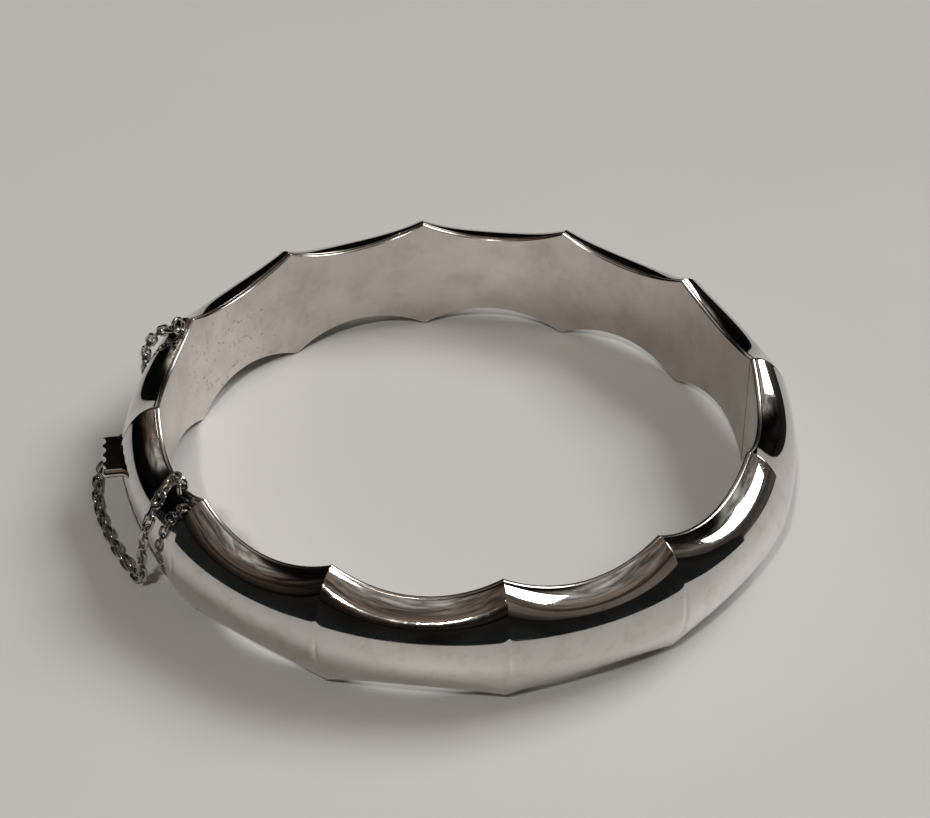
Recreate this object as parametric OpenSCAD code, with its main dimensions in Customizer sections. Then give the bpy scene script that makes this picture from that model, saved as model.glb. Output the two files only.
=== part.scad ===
// Hinged hollow bangle with scalloped bays, a tongue clasp and a safety chain.
// The bangle lies flat: Z is its axis, the origin is its centre on the table,
// the hinge is on +X, the clasp on -X, and the front half is on the -Y side.

/* [Bangle] */
// Inside diameter across the lining
inner_d = 58; // [56:0.5:60]
// Height of the band at a ridge
ridge_h = 12.87; // [12:0.1:14]
// Outside diameter across two ridges
outer_d = 66.8; // [66:0.1:68]
// How far each bay dips below its ridges, at the top and at the bottom
scallop_depth = 1.95; // [1:0.05:2.2]
// How much flatter than round the belt is in each bay
belt_flat = 0.3; // [0:0.05:0.5]
// Thickness of the domed silver sheet
skin_t = 0.45; // [0.35:0.05:0.55]
// Thickness of the flat lining
lining_t = 0.5; // [0.35:0.05:0.55]

/* [Hinge] */
// Diameter of the hinge pin
pin_d = 0.7; // [0.5:0.05:0.8]
// Outside diameter of the knuckles
knuckle_d = 1.4; // [1.3:0.05:1.4]
// Height of the whole row of knuckles
knuckle_row_h = 4.6; // [4:0.1:4.8]
// How far the front half swings open
swing = 16; // [16:1:30]

/* [Clasp] */
// Height of the tongue, along Z
tongue_h = 3.6; // [3:0.1:3.6]
// Length of the tongue past the seam
tongue_l = 5.2; // [4.6:0.1:5.4]
// Thickness of each leaf of the tongue
leaf_t = 0.3; // [0.25:0.01:0.32]
// Thickness of the thumb tab, along Z
tab_t = 1; // [0.8:0.05:1.1]
// How far the thumb tab stands out from the belt
tab_out = 1.6; // [1:0.1:2]

/* [Safety chain] */
// Wire diameter of a chain link
link_wire = 0.35; // [0.3:0.01:0.38]
// Width of a chain link between its wire centres
link_w = 0.88; // [0.84:0.01:0.92]
// Wire diameter of a jump ring
ring_wire = 0.4; // [0.36:0.01:0.42]
// Diameter of a jump ring between its wire centres
ring_d = 1.5; // [1.5:0.02:1.7]

/* [Hidden] */
// --- the bangle's shape ---
bays = 12;
bay = 360 / bays;
inner_r = inner_d / 2;
outer_r = outer_d / 2;
shell_r = inner_r + lining_t + 0.02;    // where the domed sheet meets the lining
mid_z = ridge_h / 2;
seam_gap = 0.07;                        // half the gap between the two halves
dome_power = 1.8;                       // 2 would be an ellipse
fade_power = 2.5;                       // how fast a ridge fades towards the belt
half_chord = inner_r * sin(bay / 2);
scallop_r = (half_chord * half_chord + scallop_depth * scallop_depth) / (2 * scallop_depth);
lining_dip = scallop_depth - 0.03;      // leaves a small flat on each of the lining's ridges
bay_steps = 8;
dome_steps = 16;
plate_t = 0.4;                          // the flat plate that closes each end of a half

// How far a bay dips below the ridges at an angle, which counts from any ridge
function dip(a) = let (local = (a % bay) - bay / 2)
    scallop_depth - scallop_r + sqrt(pow(scallop_r, 2) - pow(inner_r * sin(local), 2));
// The belt's radius at an angle
function belt_r(a) = let (local = ((a % bay) - bay / 2) / (bay / 2))
    outer_r - belt_flat * (1 - local * local);
// A point of the dome at an angle: turn runs from 0 at the top edge to 180 at the bottom edge,
// and inset moves it inwards, through the sheet
function dome_point(a, turn, inset) =
    let (out = pow(sin(turn), 2 / dome_power),
         up = sign(cos(turn)) * pow(abs(cos(turn)), 2 / dome_power))
    [shell_r + out * (belt_r(a) - inset - shell_r),
     mid_z + (mid_z - inset) * up - dip(a) * sign(up) * pow(abs(up), fade_power)];

// --- the hinge ---
pin_x = outer_r - 1.1;
knuckle_gap = 0.06;
knuckle_h = (knuckle_row_h - 2 * knuckle_gap) / 3;
knuckle_low_z = mid_z - knuckle_row_h / 2;
groove = swing / 2 + 2;                 // each half's end leans back this much outside the pin
hinge_leaf_w = 1.3;
hinge_leaf_t = 0.5;

// How far a half's end stands back from the seam at a radius
function end_setback(r, hinge_end) =
    seam_gap + (hinge_end ? max(0, r - pin_x) * tan(groove) : 0);

// --- the clasp ---
mouth_h = tongue_h + 0.3;
mouth_in_x = inner_r + lining_t + 0.55;
mouth_out_x = inner_r + lining_t + 1.8;
box_wall = 0.2;
box_l = tongue_l + 0.4;
catch_room = 0.25;                      // the box is this much deeper than its mouth
tab_z = mid_z + 0.45;                   // middle of the tab and of its slot
tab_slot = tab_t + 0.2;
tab_edge_r = outer_r + tab_out;
tab_front_y = -2.4;
tab_back_y = 3.4;
tab_scallops = 4;
base_leaf_x = mouth_in_x + 0.12;        // the leaves' inner faces, measured outwards
spring_leaf_x = base_leaf_x + leaf_t + 0.04;
leaf_tip_x = mouth_out_x - 0.25;        // outer face of the spring leaf at its free end
leaf_tip_y = -0.75;
tongue_tip_y = -tongue_l;

// --- the safety chain ---
// The chain's middle line from the front ring to the back ring: degrees from the clasp towards
// the front half, distance outside the belt, height above the table
chain_route = [
    [21.8, -3.7, 13.1], [22.5, -2.7, 12.9], [23.3, -1.62, 12.3], [24, -0.5, 11.1],
    [24.1, 0.2, 9.8], [23.7, 0.7, 8.2], [22.9, 0.8, 6.2], [21.9, 0.8, 4.2], [20.8, 0.6, 2.3],
    [19, 0.55, 1.05], [16.5, 0.7, 0.7], [13.1, 1, 0.65], [9.7, 1.4, 0.65], [6, 1.8, 0.65],
    [2, 2.3, 0.65], [-2, 2.7, 0.65], [-6, 2.95, 0.65], [-10, 3, 0.65], [-14, 2.5, 0.65],
    [-18, 2.1, 0.65], [-21.5, 1.7, 0.65], [-24.2, 1.4, 0.85], [-26.1, 1.15, 2],
    [-26.8, 0.95, 4.2], [-27, 0.85, 6.2], [-26.8, 0.7, 8.2], [-26.4, 0.1, 9.9],
    [-25.9, -0.8, 11.3], [-25.7, -1.9, 12.4], [-25.3, -2.8, 12.85], [-24.9, -3.65, 13.1]];
links = 48;
links_per_run = 2;
runs = links / links_per_run;
link_play = 0.08;
ring_play = 0.04;                       // between a jump ring's wire and its eye
route_steps = 8;                        // short lengths in each stretch of the route
link_twist = 1.45;                      // each link falls this short of a quarter turn
ring_slip = 0.14;                       // a jump ring stands this far along the slack end link
eye_wire = 0.4;
eye_r = 0.44;
eye_clear = 0.14;                       // its feet clear the sloping rim by this

function route_place(k) = let (p = chain_route[k], a = 180 + p[0], r = outer_r + p[1])
    [r * cos(a), r * sin(a), p[2]];
last_place = len(chain_route) - 1;
// A smooth curve through the route's points
function route_curve(k, t) =
    let (a = route_place(max(k - 1, 0)), b = route_place(k),
         c = route_place(k + 1), d = route_place(min(k + 2, last_place)))
    0.5 * (2 * b + (c - a) * t + (2 * a - 5 * b + 4 * c - d) * t * t
           + (3 * b - a - 3 * c + d) * t * t * t);
route = [for (k = [0 : last_place - 1], i = [0 : route_steps - 1]) route_curve(k, i / route_steps),
         route_place(last_place)];
// Length of the route up to each of its points
route_length = [for (i = 0, s = 0; i < len(route);
                     s = s + (i + 1 < len(route) ? norm(route[i + 1] - route[i]) : 0), i = i + 1) s];
chain_l = route_length[len(route) - 1];
pitch = chain_l / links;
function along(s) = [for (axis = [0 : 2])
    lookup(s, [for (i = [0 : len(route) - 1]) [route_length[i], route[i][axis]]])];
joints = [for (k = [0 : links]) along(k * pitch)];   // where each link meets the next
heading = [for (k = [0 : links - 1]) unit(joints[k + 1] - joints[k])];
// A sideways direction for each link, carried along the chain without twist
sideways = [for (k = 0, s = unit(cross(heading[0], [0, 0, 1])); k < links;
                 k = k + 1, s = k < links ? unit(s - (s * heading[k]) * heading[k]) : s) s];

function unit(v) = v / norm(v);

function run_name(n) = str("chain_run_", n < 10 ? "0" : "", n);

// --- shapes that repeat ---

// One half's domed sheet, from the seam at angle 0 to the seam at angle 180.
// Angle 0 is the hinge, and the front half is the back half turned over.
module domed_sheet() {
    ring = 2 * (dome_steps + 1);
    last = bays / 2 * bay_steps;
    points = [for (i = [0 : last], k = [0 : ring - 1])
        let (a = i * bay / bay_steps,
             outside = k <= dome_steps,
             turn = 180 / dome_steps * (outside ? k : ring - 1 - k),
             p = dome_point(a, turn, outside ? 0 : skin_t),
             at_seam = i == 0 || i == last,
             y = at_seam ? end_setback(p[0], i == 0) : p[0] * sin(a),
             x = at_seam ? sqrt(p[0] * p[0] - y * y) * (i == 0 ? 1 : -1) : p[0] * cos(a))
        [x, y, p[1]]];
    sides = [for (i = [0 : last - 1], k = [0 : ring - 1])
        let (a = i * ring + k, b = i * ring + (k + 1) % ring)
        each [[a, b, b + ring], [a, b + ring, a + ring]]];
    start = [for (k = [0 : dome_steps - 1]) let (a = k, b = k + 1, c = ring - 2 - k, d = ring - 1 - k)
        each [[a, d, c], [a, c, b]]];
    end = [for (f = start) [for (v = [2, 1, 0]) f[v] + last * ring]];
    polyhedron(points = points, faces = concat(sides, start, end), convexity = 6);
}

// One half's flat lining band with its scalloped edges
module lining_half() {
    difference() {
        rotate_extrude(angle = 180, $fn = 180)
            translate([inner_r, 0]) square([lining_t, ridge_h]);
        for (k = [0 : bays / 2 - 1], top = [0, 1])
            rotate([0, 0, (k + 0.5) * bay])
                translate([inner_r - 3, 0, top ? ridge_h - lining_dip + scallop_r
                                               : lining_dip - scallop_r])
                    rotate([0, 90, 0]) cylinder(h = 6, r = scallop_r, $fn = 120);
        translate([-outer_r, -1, -1]) cube([2 * outer_r, 1 + seam_gap, ridge_h + 2]);
    }
}

// The flat plate that closes a half's end, standing in the plane y = 0, with its back at +y
module end_plate(setback) {
    drop = dip(asin((setback + plate_t) / shell_r)) + 0.03;
    turned = [for (k = [0 : 24]) dome_point(0, 180 / 24 * k, skin_t + 0.07)];
    outline = [for (p = turned) [p[0] + 0.01, p[1] + (p[1] > mid_z ? -drop : drop)
                                 * pow(abs(p[1] - mid_z) / mid_z, fade_power)]];
    translate([0, setback + plate_t, 0]) rotate([90, 0, 0])
        linear_extrude(height = plate_t) polygon(outline);
}

// The room that the knuckles turn in
module knuckle_room() {
    translate([pin_x, 0, knuckle_low_z - 0.1])
        cylinder(h = knuckle_row_h + 0.2, d = knuckle_d + 0.24, $fn = 48);
}

// One knuckle with the leaf that is soldered behind its half's end plate, on the +y side
module knuckle(low_z, h) {
    difference() {
        union() {
            translate([pin_x, 0, low_z]) cylinder(h = h, d = knuckle_d, $fn = 48);
            translate([pin_x - hinge_leaf_w, seam_gap + plate_t, low_z])
                cube([hinge_leaf_w, hinge_leaf_t, h]);
        }
        translate([pin_x, 0, low_z - 1]) cylinder(h = h + 2, d = pin_d + 0.05, $fn = 48);
    }
}

// One oval wire link, lying along X in the XY plane
module oval_link(half_l, half_w, wire) {
    straight = round(1000 * (half_l - half_w)) / 1000;
    for (side = [-1, 1]) {
        translate([side * straight, 0, 0]) rotate([0, 0, -90 * side])
            rotate_extrude(angle = 180, $fn = 48)
                translate([half_w, 0]) circle(d = wire, $fn = 32);
        translate([-straight, side * half_w, 0]) rotate([0, 90, 0])
            cylinder(h = 2 * straight, d = wire, $fn = 32);
    }
}

// Turns the local X, Y and Z axes to three given directions and moves the origin
module placed(at, x, y) {
    z = cross(x, y);
    multmatrix([[x[0], y[0], z[0], at[0]], [x[1], y[1], z[1], at[1]],
                [x[2], y[2], z[2], at[2]], [0, 0, 0, 1]]) children();
}

// The way across a link in its own plane: each link is turned a quarter against the last
function link_across(k) = let (flat = k * (90 - link_twist))
    cos(flat) * sideways[k] + sin(flat) * cross(heading[k], sideways[k]);

module chain_link(k)
    placed((joints[k] + joints[k + 1]) / 2, heading[k], link_across(k))
        oval_link((pitch + link_wire + link_play) / 2, link_w / 2, link_wire);

// A jump ring stands across the end link, which goes over its wire at the side near the clasp.
// These give the ring's level direction, the way from its middle to the link, and the middle.
function ring_aim(front) = let (a = link_across(front ? 0 : links - 1)) a[0] < 0 ? a : -a;
function ring_level(front) = unit(cross(heading[front ? 0 : links - 1], [0, 0, 1]));
function ring_centre(front) =
    joints[front ? 0 : links]
    + (front ? 1 : -1) * ((ring_wire + link_play) / 2 + ring_slip) * heading[front ? 0 : links - 1]
    - ring_d / 2 * ring_aim(front);

module jump_ring(front)
    placed(ring_centre(front), ring_level(front), cross(ring_level(front), heading[front ? 0 : links - 1]))
        rotate_extrude($fn = 64) translate([ring_d / 2, 0]) circle(d = ring_wire, $fn = 32);

// A wire staple across the rim, whose arch goes over the foot of the jump ring
module chain_eye(front) {
    foot = ring_centre(front)
        - ring_d / 2 * cross(ring_level(front), heading[front ? 0 : links - 1]);
    arch_z = foot[2] + (ring_wire + eye_wire) / 2 + ring_play - eye_r;
    rim_z = ridge_h - dip(180 + atan2(foot[1], foot[0]));
    leg_h = arch_z - rim_z - eye_clear;
    placed([foot[0], foot[1], arch_z], cross(ring_level(front), [0, 0, 1]), [0, 0, 1]) {
        rotate_extrude(angle = 180, $fn = 48)
            translate([eye_r, 0]) circle(d = eye_wire, $fn = 32);
        for (side = [-1, 1]) translate([side * eye_r, 0, 0]) rotate([90, 0, 0])
            cylinder(h = leg_h, d = eye_wire, $fn = 32);
    }
}

// --- the parts ---

// The slot in the belt that the thumb tab moves in, from one place to another along Y
module tab_slot_cut(from_y, to_y) {
    translate([-tab_edge_r, from_y, tab_z - tab_slot / 2])
        cube([tab_edge_r - leaf_tip_x + 0.5, to_y - from_y, tab_slot]);
}

module back_outer_shell() color("silver") difference() {
    domed_sheet();
    knuckle_room();
    tab_slot_cut(-1, tab_back_y + 0.25);
}
module front_outer_shell() color("silver") difference() {
    mirror([0, 1, 0]) domed_sheet();
    knuckle_room();
    tab_slot_cut(tab_front_y - 0.25, 1);
}
module back_inner_lining() color("gainsboro") lining_half();
module front_inner_lining() color("gainsboro") mirror([0, 1, 0]) lining_half();

module back_hinge_end_plate() color("silver") difference() {
    end_plate(seam_gap);
    knuckle_room();
}
module front_hinge_end_plate() color("silver") mirror([0, 1, 0]) difference() {
    end_plate(seam_gap);
    knuckle_room();
}
module back_clasp_end_plate() color("silver") difference() {
    mirror([1, 0, 0]) end_plate(seam_gap);
    tab_slot_cut(-1, 1);
}
module front_clasp_end_plate() color("silver") difference() {
    mirror([1, 0, 0]) mirror([0, 1, 0]) end_plate(seam_gap);
    translate([-mouth_out_x, -plate_t - 1, mid_z - mouth_h / 2])
        cube([mouth_out_x - mouth_in_x, plate_t + 2, mouth_h]);
    tab_slot_cut(-1, 1);
}

module back_hinge_knuckle_lower() color("silver") knuckle(knuckle_low_z, knuckle_h);
module back_hinge_knuckle_upper() color("silver")
    knuckle(knuckle_low_z + 2 * (knuckle_h + knuckle_gap), knuckle_h);
module front_hinge_knuckle() color("silver")
    mirror([0, 1, 0]) knuckle(knuckle_low_z + knuckle_h + knuckle_gap, knuckle_h);
module hinge_pin() color("lightgray")
    translate([pin_x, 0, knuckle_low_z - 0.06])
        cylinder(h = knuckle_row_h + 0.12, d = pin_d, $fn = 48);

// The box behind the front half's mouth, a square tube that is closed at its far end
module clasp_box() color("silver") difference() {
    room_x = mouth_out_x + catch_room;
    back_y = -seam_gap - plate_t - box_l;
    translate([-room_x - box_wall, back_y, mid_z - mouth_h / 2 - box_wall])
        cube([room_x - mouth_in_x + 2 * box_wall, box_l, mouth_h + 2 * box_wall]);
    translate([-room_x, back_y + box_wall, mid_z - mouth_h / 2])
        cube([room_x - mouth_in_x, box_l, mouth_h]);
    tab_slot_cut(tab_front_y - 0.25, 0);
}

// The tongue's inner leaf, which the back half's end plate carries
module tongue_base_leaf() color("silver")
    translate([-base_leaf_x - leaf_t, tongue_tip_y, mid_z - tongue_h / 2])
        cube([leaf_t, seam_gap - tongue_tip_y, tongue_h]);

// The springy outer leaf, from the fold at the tongue's tip to its free end behind the mouth
module tongue_spring_leaf() color("silver")
    translate([0, 0, mid_z - tongue_h / 2]) linear_extrude(height = tongue_h)
        polygon([[-spring_leaf_x, tongue_tip_y], [-spring_leaf_x, tongue_tip_y + 0.5],
                 [-leaf_tip_x + leaf_t, leaf_tip_y], [-leaf_tip_x, leaf_tip_y],
                 [-spring_leaf_x - leaf_t, tongue_tip_y + 0.5],
                 [-spring_leaf_x - leaf_t, tongue_tip_y]]);

// A low bar across the spring leaf that snaps behind the edge of the mouth
module catch_bar() color("silver")
    translate([-leaf_tip_x - 0.2, leaf_tip_y - 0.3, mid_z - tongue_h / 2])
        cube([0.2, 0.3, tab_z - tab_slot / 2 - mid_z + tongue_h / 2]);

// The thumb tab: a level plate with a milled outer edge, standing out through the slot
module thumb_tab() color("silver")
    translate([0, 0, tab_z - tab_t / 2]) linear_extrude(height = tab_t) difference() {
        polygon([[-leaf_tip_x - 0.01, leaf_tip_y], [-leaf_tip_x - 0.01, tab_front_y + 0.6],
                 [-outer_r + 0.35, tab_front_y], [-tab_edge_r, tab_front_y],
                 [-tab_edge_r, tab_back_y], [-outer_r + 0.35, tab_back_y],
                 [-outer_r + 0.35, leaf_tip_y]]);
        for (k = [0 : tab_scallops - 1])
            translate([-tab_edge_r - 0.35,
                       tab_front_y + (k + 0.5) * (tab_back_y - tab_front_y) / tab_scallops])
                circle(r = 0.6, $fn = 32);
    }

module front_chain_eye() color("silver") chain_eye(true);
module back_chain_eye() color("silver") chain_eye(false);
module front_jump_ring() color("silver") jump_ring(true);
module back_jump_ring() color("silver") jump_ring(false);
module chain_run(n) color("silver")
    for (k = [(n - 1) * links_per_run : n * links_per_run - 1]) chain_link(k);

front_outer_shell();
front_inner_lining();
front_clasp_end_plate();
front_hinge_end_plate();
back_outer_shell();
back_inner_lining();
back_clasp_end_plate();
back_hinge_end_plate();
front_hinge_knuckle();
back_hinge_knuckle_upper();
back_hinge_knuckle_lower();
hinge_pin();
clasp_box();
tongue_base_leaf();
tongue_spring_leaf();
thumb_tab();
catch_bar();
front_chain_eye();
back_chain_eye();
front_jump_ring();
back_jump_ring();
for (n = [1 : runs])
    chain_run(n);
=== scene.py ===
"""A hinged, scalloped silver bangle lying on a pale table, with its safety chain.

The frame (millimetres here, metres in Blender): Z is the bangle's axis, the origin is its centre
on the table, the hinge is on +X, the clasp on -X, and the front half is on the -Y side.
"""
import math

import bmesh
import bpy
import numpy as np
from mathutils import Matrix, Vector


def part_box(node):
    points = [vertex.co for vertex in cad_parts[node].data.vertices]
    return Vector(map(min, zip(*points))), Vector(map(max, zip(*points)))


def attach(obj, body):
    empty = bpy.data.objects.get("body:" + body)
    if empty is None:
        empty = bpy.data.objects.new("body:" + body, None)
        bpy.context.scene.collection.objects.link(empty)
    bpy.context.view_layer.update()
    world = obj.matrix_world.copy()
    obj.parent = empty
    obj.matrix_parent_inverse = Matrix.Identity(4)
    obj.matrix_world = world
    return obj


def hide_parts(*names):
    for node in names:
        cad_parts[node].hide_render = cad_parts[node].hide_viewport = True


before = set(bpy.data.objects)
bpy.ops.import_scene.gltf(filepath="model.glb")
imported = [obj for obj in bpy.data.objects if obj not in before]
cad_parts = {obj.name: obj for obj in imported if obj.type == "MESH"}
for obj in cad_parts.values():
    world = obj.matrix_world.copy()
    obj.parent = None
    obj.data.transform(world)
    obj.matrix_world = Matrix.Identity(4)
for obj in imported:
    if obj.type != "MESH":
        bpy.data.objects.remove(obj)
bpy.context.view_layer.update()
MM = 0.001

# ---------------------------------------------------------------------------------- dimensions
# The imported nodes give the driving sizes, in millimetres.
RIDGE_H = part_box("back_outer_shell")[1][2] / MM
LINING_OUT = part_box("back_inner_lining")[1][0] / MM
LINING_T = 0.5
INNER_R = round(LINING_OUT - LINING_T, 3)
OUTER_R = round(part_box("back_outer_shell")[1][0] / MM, 1)
MID_Z = RIDGE_H / 2
BAY = 30.0
SCALLOP = 1.95
BELT_FLAT = 0.3
SKIN_T = 0.45
SHELL_R = INNER_R + LINING_T + 0.02
DOME_POWER, FADE_POWER = 1.8, 2.5
PIN_X = OUTER_R - 1.1
SEAM = 0.07
GROOVE = math.radians(10)               # the halves' ends lean back this much at the hinge
KNUCKLE_R, KNUCKLE_ROW_H = 0.7, 4.6
TAB_Z = MID_Z + 0.45
TAB_T = 1.0
TAB_OUT_X = round(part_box("thumb_tab")[0][0] / MM, 3)      # its outer edge
TAB_FRONT_Y, TAB_BACK_Y = -2.4, 3.4
HALF_CHORD = INNER_R * math.sin(math.radians(BAY / 2))
SCALLOP_R = (HALF_CHORD**2 + SCALLOP**2) / (2 * SCALLOP)


def dip(angle):
    """How far the bays dip below the ridges at an angle in degrees, counted from any ridge."""
    local = np.radians(np.mod(angle, BAY) - BAY / 2)
    return SCALLOP - SCALLOP_R + np.sqrt(SCALLOP_R**2 - (INNER_R * np.sin(local)) ** 2)


def belt_r(angle):
    local = (np.mod(angle, BAY) - BAY / 2) / (BAY / 2)
    return OUTER_R - BELT_FLAT * (1 - local**2)


def dome(angle, turn, inset=0.0):
    """Radius and height on the domed sheet: turn runs from 0 at its top edge to 180 at its
    bottom edge, and inset goes through the sheet."""
    out = np.sin(np.radians(turn)) ** (2 / DOME_POWER)
    rise = np.cos(np.radians(turn))
    up = np.sign(rise) * np.abs(rise) ** (2 / DOME_POWER)
    r = SHELL_R + out * (belt_r(angle) - inset - SHELL_R)
    z = MID_Z + (MID_Z - inset) * up - dip(angle) * np.sign(up) * np.abs(up) ** FADE_POWER
    return r, z


# ---------------------------------------------------------------------------------- the camera
def make_camera():
    """The photograph's viewpoint: about 37 degrees above the table, in front of the bangle."""
    data = bpy.data.cameras.new("camera")
    data.lens, data.sensor_width = 86.31, 36.0
    data.clip_start, data.clip_end = 0.01, 20.0
    data.dof.use_dof = False
    obj = bpy.data.objects.new("camera", data)
    place = Vector((-22.53, -173.66, 141.02)) * MM
    target = Vector((1.13, 4.19, 6.435)) * MM
    look = (target - place).to_track_quat("-Z", "Y").to_matrix().to_4x4()
    roll = Matrix.Rotation(math.radians(-0.2), 4, "Z")
    obj.matrix_world = Matrix.Translation(place) @ look @ roll
    bpy.context.scene.collection.objects.link(obj)
    bpy.context.scene.camera = obj


make_camera()


# ------------------------------------------------------------------------------- node helpers
class Nodes:
    """A short way to wire a material's nodes."""

    def __init__(self, name):
        self.material = bpy.data.materials.new(name)
        self.material.use_nodes = True
        self.tree = self.material.node_tree
        self.tree.nodes.clear()
        self.out = self.tree.nodes.new("ShaderNodeOutputMaterial")

    def add(self, kind, _out=0, _set=(), **sockets):
        node = self.tree.nodes.new("ShaderNode" + kind)
        for key, value in dict(_set).items():
            setattr(node, key, value)
        for key, value in sockets.items():
            index = int(key[1:]) if key[0] == "i" and key[1:].isdigit() else key.replace("_", " ")
            self.feed(node.inputs[index], value)
        return node.outputs[_out]

    def feed(self, socket, value):
        if isinstance(value, bpy.types.NodeSocket):
            self.tree.links.new(value, socket)
        else:
            socket.default_value = value

    def math(self, operation, a, b=0.0, clamp=False):
        return self.add("Math", _set={"operation": operation, "use_clamp": clamp}, i0=a, i1=b)

    def ramp(self, value, *stops):
        """A ramp of (position, grey or colour) stops."""
        node = self.tree.nodes.new("ShaderNodeValToRGB")
        ramp = node.color_ramp
        while len(ramp.elements) < len(stops):
            ramp.elements.new(0.5)
        for element, (place, colour) in zip(ramp.elements, stops):
            element.position = place
            element.color = (colour,) * 3 + (1,) if isinstance(colour, float) else (*colour, 1)
        self.feed(node.inputs[0], value)
        return node.outputs[0]

    def mix(self, factor, a, b):
        node = self.tree.nodes.new("ShaderNodeMix")
        node.data_type = "RGBA"
        self.feed(node.inputs[0], factor)
        self.feed(node.inputs[6], a)
        self.feed(node.inputs[7], b)
        return node.outputs[2]

    def place(self, scale, turn=(0, 0, 0)):
        """Object coordinates in millimetres, scaled and turned."""
        at = self.add("TexCoord", _out=3)
        return self.add("Mapping", Vector=at, Scale=tuple(s / MM for s in scale), Rotation=turn)

    def noise(self, scale, detail=3.0, rough=0.5, turn=(0, 0, 0)):
        scale = scale if isinstance(scale, tuple) else (scale,) * 3
        return self.add("TexNoise", Vector=self.place(scale, turn), Scale=1.0, Detail=detail,
                        Roughness=rough)

    def bump(self, height, distance, normal=None):
        sockets = {"Height": height, "Distance": distance, "Strength": 1.0}
        if normal is not None:
            sockets["Normal"] = normal
        return self.add("Bump", **sockets)


def rgb(r, g, b):
    """A display colour, 0 to 255, as the linear values that the sockets take."""
    def linear(v):
        v /= 255
        return v / 12.92 if v < 0.04045 else ((v + 0.055) / 1.055) ** 2.4
    return (linear(r), linear(g), linear(b), 1.0)


def polished_silver(name, rough=0.045, tarnish=0.5, wave=0.006, shade=1.0):
    """Mirror-polished silver with a slightly uneven sheet, hairline scratches and a little
    brown tarnish in patches."""
    n = Nodes(name)
    broad = n.noise(0.35, 1.0)
    slow = n.bump(broad, wave * MM)
    hair = None
    for turn, stretch in (((0.3, 0.2, 0.5), 40), ((0.9, -0.4, 1.9), 34), ((-0.5, 0.7, 2.8), 46)):
        lines = n.noise((0.5, stretch, 0.5), 2.0, 0.5, turn)
        lines = n.ramp(lines, (0.0, 0.0), (0.66, 0.0), (0.72, 1.0))
        hair = lines if hair is None else n.math("MAXIMUM", hair, lines)
    hair_bump = n.bump(hair, -0.0002 * MM, slow)
    patches = n.ramp(n.noise(0.55, 5.0, 0.6), (0.5, 0.0), (0.8, 1.0))
    pits = n.ramp(n.noise(5.0, 2.0, 0.5), (0.0, 1.0), (0.24, 1.0), (0.29, 0.0))
    dull = n.math("MULTIPLY", patches, tarnish, clamp=True)
    colour = n.mix(dull, rgb(236, 233, 228), rgb(196, 182, 166))
    colour = n.mix(n.math("MULTIPLY", pits, 0.6), colour, rgb(96, 82, 70))
    colour = n.mix(1.0 - shade, colour, rgb(40, 36, 33))
    roughness = n.math("ADD", n.math("MULTIPLY", hair, 0.06), rough)
    roughness = n.math("ADD", roughness, n.math("MULTIPLY", dull, 0.10))
    shader = n.add("BsdfPrincipled", Base_Color=colour, Metallic=1.0, Roughness=roughness,
                   Normal=hair_bump)
    n.feed(n.out.inputs[0], shader)
    return n.material


def satin_silver(name):
    """The lining: drawn flat strip, brushed round the wrist, with grey-brown spotting."""
    n = Nodes(name)
    at = n.add("TexCoord", _out=3)
    split = n.tree.nodes.new("ShaderNodeSeparateXYZ")
    n.feed(split.inputs[0], at)
    angle = n.math("ARCTAN2", split.outputs[1], split.outputs[0])
    around = n.tree.nodes.new("ShaderNodeCombineXYZ")
    n.feed(around.inputs[0], n.math("MULTIPLY", angle, 2.5))
    n.feed(around.inputs[1], n.math("MULTIPLY", split.outputs[2], 22 / MM))
    grain = n.add("TexNoise", Vector=around.outputs[0], Scale=1.0, Detail=4.0, Roughness=0.65)
    cloud = n.noise(0.3, 4.0, 0.6)
    spots = n.ramp(n.noise(1.7, 6.0, 0.75), (0.0, 0.0), (0.58, 0.0), (0.66, 1.0))
    stain = n.ramp(n.noise(0.14, 3.0, 0.6), (0.47, 0.0), (0.6, 1.0))
    patch = n.add("VectorMath", _out=1, _set={"operation": "DISTANCE"}, i0=at,
                  i1=(-0.0225, 0.018, 0.004))
    patch = n.ramp(n.math("MULTIPLY", patch, 40.0), (0.1, 1.0), (0.5, 0.0))
    spots = n.math("MULTIPLY", spots, n.math("MAXIMUM", patch, n.math("MULTIPLY", stain, 0.25)))
    haze = n.ramp(n.noise(0.22, 5.0, 0.65, (0.4, 0.9, 0.2)), (0.45, 0.0), (0.75, 1.0))
    colour = n.mix(cloud, rgb(197, 189, 181), rgb(219, 214, 208))
    colour = n.mix(n.math("MULTIPLY", haze, 0.5), colour, rgb(158, 147, 137))
    colour = n.mix(n.math("MULTIPLY", spots, 0.75), colour, rgb(104, 90, 76))
    rough = n.math("ADD", n.math("MULTIPLY", grain, 0.14), 0.15)
    rough = n.math("ADD", rough, n.math("MULTIPLY", spots, 0.2))
    normal = n.bump(grain, 0.004 * MM)
    shader = n.add("BsdfPrincipled", Base_Color=colour, Metallic=1.0, Roughness=rough,
                   Normal=normal)
    n.feed(n.out.inputs[0], shader)
    return n.material


SILVER = polished_silver("polished_silver", shade=0.79)
LINING = satin_silver("satin_silver")
CHAIN = polished_silver("chain_silver", rough=0.08, tarnish=1.0, wave=0.002, shade=0.56)
SPRING = polished_silver("spring_silver", rough=0.2, tarnish=0.8)


# -------------------------------------------------------------------------------- mesh helpers
def add_mesh(name, verts, faces, material, smooth=True):
    """A mesh object from millimetre points."""
    mesh = bpy.data.meshes.new(name)
    mesh.from_pydata([tuple(float(c) * MM for c in v) for v in verts], [], faces)
    mesh.validate()
    mesh.materials.append(material)
    if smooth:
        mesh.shade_smooth()
    obj = bpy.data.objects.new(name, mesh)
    bpy.context.scene.collection.objects.link(obj)
    return obj


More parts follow.
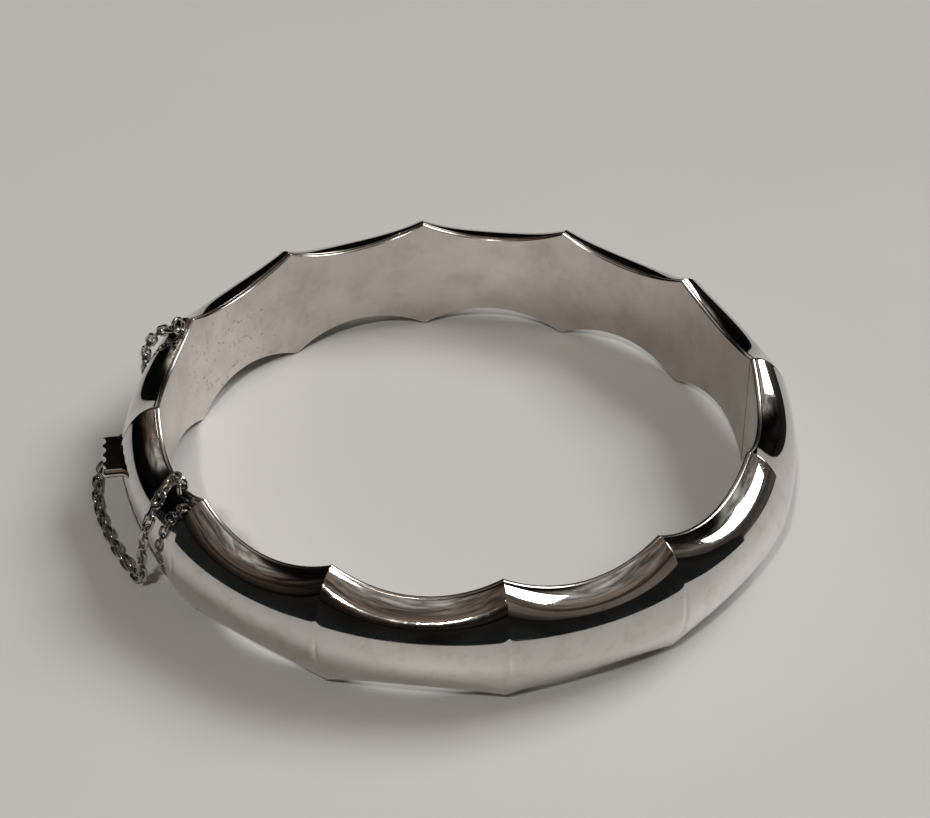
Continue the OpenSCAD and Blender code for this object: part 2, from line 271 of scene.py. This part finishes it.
def apply_modifiers(obj):
    """Bakes an object's modifiers into its mesh."""
    graph = bpy.context.evaluated_depsgraph_get()
    graph.update()
    baked = bpy.data.meshes.new_from_object(obj.evaluated_get(graph))
    obj.modifiers.clear()
    obj.data = baked


def sharp_by_angle(obj, degrees=35):
    """Marks the edges that turn by more than an angle as sharp."""
    bm = bmesh.new()
    bm.from_mesh(obj.data)
    for edge in bm.edges:
        turn = edge.calc_face_angle(0.0) if len(edge.link_faces) == 2 else 0.0
        edge.smooth = turn < math.radians(degrees)
    bm.to_mesh(obj.data)
    bm.free()


def add_prism(name, outline, low, high, material):
    """A closed prism over an outline of (x, y) points. Millimetres."""
    count = len(outline)
    verts = [(x, y, z) for z in (low, high) for x, y in outline]
    faces = [(i, (i + 1) % count, count + (i + 1) % count, count + i) for i in range(count)]
    faces += [tuple(reversed(range(count))), tuple(range(count, 2 * count))]
    obj = add_mesh(name, verts, faces, material, smooth=False)
    bm = bmesh.new()
    bm.from_mesh(obj.data)
    bmesh.ops.recalc_face_normals(bm, faces=bm.faces)
    bm.to_mesh(obj.data)
    bm.free()
    return obj


def round_outline(x, y, radius, count=40):
    return [(x + radius * math.cos(2 * math.pi * i / count),
             y + radius * math.sin(2 * math.pi * i / count)) for i in range(count)]


def soften(obj, width, degrees=50, segments=2):
    """Rounds over the edges that turn by more than an angle. Millimetres."""
    bevel = obj.modifiers.new("soften", "BEVEL")
    bevel.width, bevel.segments = width * MM, segments
    bevel.limit_method, bevel.angle_limit = "ANGLE", math.radians(degrees)
    apply_modifiers(obj)


def cut(obj, cutters):
    """Takes cutters out of an object and throws them away."""
    for cutter in cutters:
        hole = obj.modifiers.new("cut", "BOOLEAN")
        hole.operation, hole.object, hole.solver = "DIFFERENCE", cutter, "EXACT"
    apply_modifiers(obj)
    for cutter in cutters:
        bpy.data.objects.remove(cutter)


def finish_shading(obj, degrees=50):
    """Smooth faces with sharp edges kept, and flat faces kept flat beside rounded edges."""
    obj.data.shade_smooth()
    sharp_by_angle(obj, degrees)
    weighted = obj.modifiers.new("weighted", "WEIGHTED_NORMAL")
    weighted.keep_sharp = True
    weighted.weight = 60
    apply_modifiers(obj)


def bay_angles(steps):
    """Angles over one half, from 0 to 180 degrees, closer together at each ridge."""
    local = [BAY * (1 - math.cos(math.pi * i / steps)) / 2 for i in range(steps)]
    return np.array([k * BAY + a for k in range(6) for a in local] + [180.0])


def half_band(name, section, material, body, node, hinge_groove=True):
    """A closed band over half a turn. section(angle) gives its ring of (r, z) points in order.
    It is made on the +Y side; the front half is its mirror image."""
    angles = bay_angles(26)
    rings = [np.array(section(a)) for a in angles]
    count = len(rings[0])
    side = 1 if body == "back_half" else -1
    verts = []
    for a, ring in zip(angles, rings):
        for r, z in ring:
            setback = SEAM
            if hinge_groove and a < 90:
                setback += max(0.0, r - PIN_X) * math.tan(GROOVE)
            y = max(r * math.sin(math.radians(a)), setback)
            x = math.copysign(math.sqrt(r * r - y * y), math.cos(math.radians(a)))
            verts.append((x, side * y, z))
    faces = []
    for i in range(len(angles) - 1):
        for k in range(count):
            quad = [i * count + k, i * count + (k + 1) % count,
                    (i + 1) * count + (k + 1) % count, (i + 1) * count + k]
            faces.append(quad if side > 0 else quad[::-1])
    last = (len(angles) - 1) * count
    half = count // 2
    for k in range(half - 1):
        quad = [k, k + 1, count - 2 - k, count - 1 - k]
        faces.append(quad[::-1] if side > 0 else quad)
        quad = [last + v for v in quad]
        faces.append(quad if side > 0 else quad[::-1])
    obj = add_mesh(name, verts, faces, material)
    bm = bmesh.new()
    bm.from_mesh(obj.data)
    bmesh.ops.remove_doubles(bm, verts=bm.verts, dist=0.002 * MM)
    bmesh.ops.recalc_face_normals(bm, faces=bm.faces)
    bm.to_mesh(obj.data)
    bm.free()
    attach(obj, body)
    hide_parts(node)
    return obj


def shell_section(angle):
    """The domed sheet's ring of points: out along its outside, back along its inside. A fine
    crease runs down the belt from each ridge."""
    turns = 90 * (1 - np.cos(np.pi * np.arange(61) / 60))
    r_out, z_out = dome(angle, turns)
    off = min(angle % BAY, BAY - angle % BAY)
    if 5 < angle < 175:
        belt = np.clip((turns - 62) / 12, 0, 1) * np.clip((142 - turns) / 12, 0, 1)
        r_out = r_out - 0.1 * math.exp(-((off / 0.25) ** 2)) * belt
    r_in, z_in = dome(angle, turns[::-1], SKIN_T)
    return np.concatenate([np.c_[r_out, z_out], np.c_[r_in, z_in]])


def lining_section(angle):
    """The lining's ring of points, with its edges rounded over."""
    top = RIDGE_H - dip(angle)
    low = dip(angle)
    bead = LINING_T / 2
    turns = np.radians(np.linspace(0, 180, 9))
    r_mid = INNER_R + bead
    up = [(r_mid - bead * math.cos(t), top - bead * 0.6 + bead * 0.6 * math.sin(t)) for t in turns]
    down = [(r_mid + bead * math.cos(t), low + bead * 0.6 - bead * 0.6 * math.sin(t)) for t in turns]
    return [(r, z) for r, z in up + down]


front_skin = half_band("front_domed_sheet", shell_section, SILVER, "front_half", "front_outer_shell")
back_skin = half_band("back_domed_sheet", shell_section, SILVER, "back_half", "back_outer_shell")
front_band = half_band("front_lining_band", lining_section, LINING, "front_half",
                       "front_inner_lining", False)
back_band = half_band("back_lining_band", lining_section, LINING, "back_half",
                      "back_inner_lining", False)
for piece in (front_skin, back_skin):
    soften(piece, 0.07)
for piece, from_y, to_y in ((front_skin, TAB_FRONT_Y - 0.25, 1.0), (back_skin, -1.0, TAB_BACK_Y + 0.25)):
    slot = [(TAB_OUT_X - 1, from_y), (-OUTER_R + 2.5, from_y), (-OUTER_R + 2.5, to_y),
            (TAB_OUT_X - 1, to_y)]
    cut(piece, [add_prism("slot", slot, TAB_Z - TAB_T / 2 - 0.1, TAB_Z + TAB_T / 2 + 0.1, SILVER),
                add_prism("room", round_outline(PIN_X, 0, KNUCKLE_R + 0.12),
                          MID_Z - KNUCKLE_ROW_H / 2 - 0.1, MID_Z + KNUCKLE_ROW_H / 2 + 0.1, SILVER)])
for piece in (front_skin, back_skin, front_band, back_band):
    finish_shading(piece)


def thumb_tab():
    """A level plate with a milled outer edge, and a rounded bar along its front edge."""
    inner_x = -OUTER_R + 0.35
    bar = 0.46
    outline = [(inner_x, TAB_FRONT_Y + bar)]
    pitch = (TAB_BACK_Y - TAB_FRONT_Y) / 4
    for k in range(4):
        centre = (TAB_OUT_X - 0.28, TAB_FRONT_Y + (k + 0.5) * pitch)
        for t in np.linspace(-58, 58, 11):
            point = (centre[0] + 0.62 * math.cos(math.radians(t)),
                     centre[1] + 0.62 * math.sin(math.radians(t)))
            if point[1] > TAB_FRONT_Y + bar:
                outline.append((max(point[0], TAB_OUT_X + 0.02), point[1]))
        if k < 3:
            outline.append((TAB_OUT_X + 0.02, TAB_FRONT_Y + (k + 1) * pitch))
    outline += [(TAB_OUT_X + 0.3, TAB_BACK_Y - 0.05), (inner_x, TAB_BACK_Y)]
    plate = add_prism("tab_plate", outline, TAB_Z - TAB_T / 2 + 0.06, TAB_Z + TAB_T / 2 - 0.06, SILVER)
    soften(plate, 0.07, 40, 3)
    stem = [(inner_x + 0.02, -0.75), (inner_x + 0.02, TAB_FRONT_Y + 0.3),
            (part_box("thumb_tab")[1][0] / MM, TAB_FRONT_Y + 0.7), (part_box("thumb_tab")[1][0] / MM, -0.75)]
    stem = add_prism("tab_stem", stem, TAB_Z - TAB_T / 2 + 0.06, TAB_Z + TAB_T / 2 - 0.06, SILVER)
    # the bar: a round rod with rounded ends, along X
    radius, steps = 0.47, 14
    x_low, x_high = TAB_OUT_X + 0.01, inner_x
    rings = [(x_high, radius)] + [(x_low + 0.3 - 0.3 * math.sin(math.radians(a)),
                                   radius - 0.3 + 0.3 * math.cos(math.radians(a)))
                                  for a in np.linspace(0, 90, steps)]
    count = 36
    verts = [(x, TAB_FRONT_Y + radius + r * math.cos(2 * math.pi * i / count),
              TAB_Z + r * math.sin(2 * math.pi * i / count)) for x, r in rings for i in range(count)]
    faces = [(a * count + i, a * count + (i + 1) % count, (a + 1) * count + (i + 1) % count,
              (a + 1) * count + i) for a in range(len(rings) - 1) for i in range(count)]
    faces += [tuple(range(count)), tuple((len(rings) - 1) * count + i for i in range(count))]
    rod = add_mesh("tab_bar", verts, faces, SILVER)
    bm = bmesh.new()
    bm.from_mesh(rod.data)
    bmesh.ops.recalc_face_normals(bm, faces=bm.faces)
    bm.to_mesh(rod.data)
    bm.free()
    for piece in (plate, stem, rod):
        finish_shading(piece, 40)
        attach(piece, "clasp_spring")
        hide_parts("thumb_tab")


thumb_tab()

# -------------------------------------------------------------------- materials of CAD nodes
for name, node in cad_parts.items():
    if name in ("front_outer_shell", "back_outer_shell", "front_inner_lining",
                "back_inner_lining", "thumb_tab"):
        continue
    material = SILVER
    if name.startswith("chain_run") or "ring" in name and "spring" not in name or "eye" in name:
        material = CHAIN
    if name in ("tongue_spring_leaf", "tongue_base_leaf", "catch_bar", "hinge_pin"):
        material = SPRING
    node.data.materials.clear()
    node.data.materials.append(material)


# ------------------------------------------------------------------------------- table, light
def make_table():
    size = 1500
    mesh = bpy.data.meshes.new("table")
    mesh.from_pydata([(x * size * MM, y * size * MM, 0) for x, y in
                      ((-1, -1), (1, -1), (1, 1), (-1, 1))], [], [(0, 1, 2, 3)])
    n = Nodes("table_top")
    mottle = n.noise(0.02, 3.0, 0.5)
    colour = n.mix(mottle, rgb(205, 203, 200), rgb(213, 211, 209))
    shader = n.add("BsdfPrincipled", Base_Color=colour, Roughness=0.42,
                   Normal=n.bump(n.noise(3.0, 2.0), 0.002 * MM))
    n.feed(n.out.inputs[0], shader)
    mesh.materials.append(n.material)
    obj = bpy.data.objects.new("table", mesh)
    bpy.context.scene.collection.objects.link(obj)


def card(name, centre, size, strength, colour=(1, 1, 1)):
    """A soft rectangular light that faces the bangle. Millimetres."""
    light = bpy.data.lights.new(name, "AREA")
    light.shape = "RECTANGLE"
    light.size, light.size_y = size[0] * MM, size[1] * MM
    light.energy = strength
    light.color = colour
    obj = bpy.data.objects.new(name, light)
    place = Vector(centre) * MM
    obj.location = place
    obj.rotation_euler = (Vector((0, 0, 6)) * MM - place).to_track_quat("-Z", "Y").to_euler()
    bpy.context.scene.collection.objects.link(obj)
    return obj


def flag(name, radius, low, high, first, last, foot, head):
    """A curved dark screen round the table that only reflections see. Compass angles count
    clockwise from +Y, in degrees; low and high are heights above the table, with the colours
    at its foot and at its head."""
    turns = np.radians(np.linspace(first, last, 48))
    verts = [(radius * math.sin(t) * MM, radius * math.cos(t) * MM, z * MM)
             for z in (low, high) for t in turns]
    faces = [(i, i + 1, i + 1 + len(turns), i + len(turns)) for i in range(len(turns) - 1)]
    mesh = bpy.data.meshes.new(name)
    mesh.from_pydata(verts, [], faces)
    n = Nodes(name)
    split = n.tree.nodes.new("ShaderNodeSeparateXYZ")
    n.feed(split.inputs[0], n.add("TexCoord", _out=3))
    rise = n.math("DIVIDE", split.outputs[2], high * MM)
    folds = n.ramp(n.noise((0.05, 0.05, 0.012), 3.0, 0.55), (0.3, 0.45), (0.7, 1.6))
    glow = n.mix(rise, foot, head)
    n.feed(n.out.inputs[0], n.add("Emission", Color=glow, Strength=folds))
    mesh.materials.append(n.material)
    obj = bpy.data.objects.new(name, mesh)
    bpy.context.scene.collection.objects.link(obj)
    obj.visible_camera = obj.visible_diffuse = obj.visible_shadow = False
    return obj


make_table()
card("window", (1550, 415, 1750), (1400, 1080), 39.0, (0.985, 0.99, 1.0))
card("front_lamp", (-330, -906, 1149), (70, 70), 7.0, (1.0, 0.97, 0.93))
flag("room_front", 88, 0.2, 36, 106, 285, rgb(30, 34, 35), rgb(28, 24, 22))


def make_room():
    """The room that the silver mirrors: near black low down, brown ceiling, pale to the north."""
    world = bpy.data.worlds.new("room")
    bpy.context.scene.world = world
    world.use_nodes = True
    n = Nodes.__new__(Nodes)
    n.tree = world.node_tree
    n.tree.nodes.clear()
    n.out = n.tree.nodes.new("ShaderNodeOutputWorld")
    way = n.add("TexCoord", _out=0)
    split = n.tree.nodes.new("ShaderNodeSeparateXYZ")
    n.feed(split.inputs[0], way)
    up, north, east = split.outputs[2], split.outputs[1], split.outputs[0]
    colour = n.ramp(up, (0.0, rgb(10, 10, 10)[:3]), (0.42, rgb(14, 13, 12)[:3]),
                    (0.62, rgb(46, 39, 34)[:3]), (0.78, rgb(92, 78, 69)[:3]),
                    (0.9, rgb(120, 107, 98)[:3]), (1.0, rgb(134, 124, 117)[:3]))
    swirl = n.add("TexNoise", Vector=way, Scale=2.6, Detail=5.0, Roughness=0.6, Distortion=1.1)
    swirl = n.ramp(swirl, (0.4, 0.22), (0.6, 1.0))
    pale = n.math("ADD", n.math("MULTIPLY", north, 0.9), n.math("MULTIPLY", east, 0.5))
    high_up = n.ramp(up, (0.66, 0.0), (0.84, 1.0))
    pale = n.math("MULTIPLY", n.ramp(pale, (0.12, 0.0), (0.5, 1.0)), high_up)
    colour = n.mix(pale, colour, rgb(205, 202, 198))
    eastward = n.ramp(east, (0.35, 0.0), (0.75, 1.0))
    glow = n.math("MULTIPLY", eastward, n.ramp(up, (0.1, 0.4), (0.5, 1.0)))
    colour = n.mix(glow, colour, rgb(128, 119, 112))
    low_down = n.ramp(up, (0.6, 1.0), (0.7, 0.0))
    murk = n.math("MULTIPLY", n.ramp(north, (0.25, 0.0), (0.6, 0.9)), low_down)
    colour = n.mix(murk, colour, rgb(8, 8, 8))
    back = n.add("Background", Color=colour, Strength=n.math("MULTIPLY", swirl, 1.35))
    n.feed(n.out.inputs[0], back)


make_room()
bpy.context.scene.view_settings.view_transform = "Standard"
